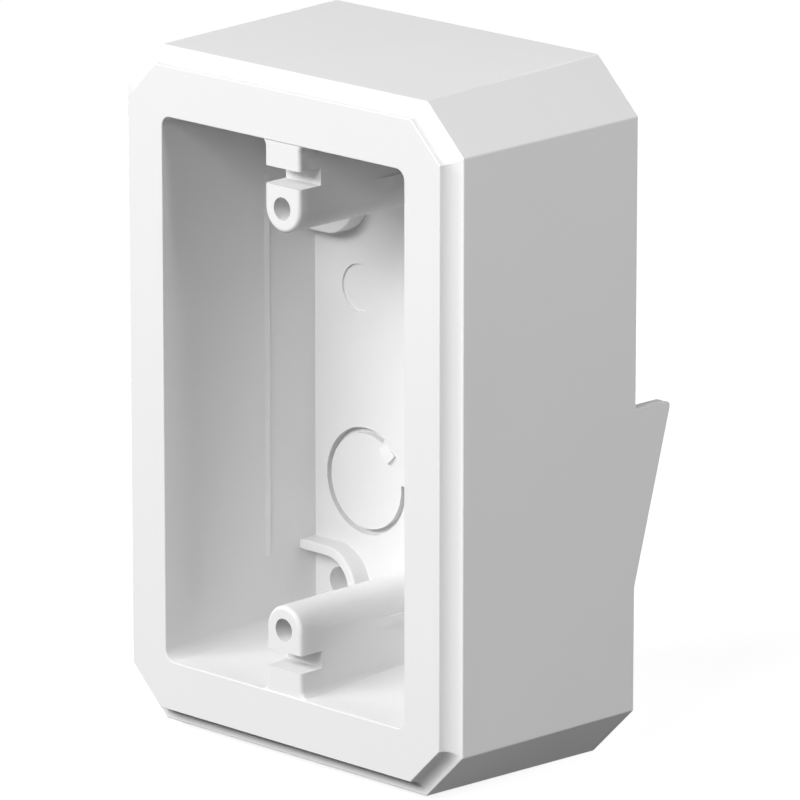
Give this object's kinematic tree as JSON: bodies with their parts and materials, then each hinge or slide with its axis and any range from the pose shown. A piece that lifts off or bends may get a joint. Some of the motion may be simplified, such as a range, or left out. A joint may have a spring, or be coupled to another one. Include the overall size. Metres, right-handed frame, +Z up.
{
  "type": "weatherproof device box",
  "caption": "One-piece moulded outdoor box for a wiring device: bevel-cornered skirt, raised face, open cup with screw bosses, wedge fins at the back for lap siding.",
  "frame": {"origin": "centre of the front face, midway between the two device screws", "axes": "+X to the right seen from the front, +Y from the front face into the wall, +Z up"},
  "size_m": [0.0916, 0.0596, 0.1388],
  "materials": {
    "moulded_pvc": "satin moulded, faintly textured on the outside"
  },
  "bodies": {
    "root": {"device_box": "moulded_pvc"}
  },
  "joints": []
}
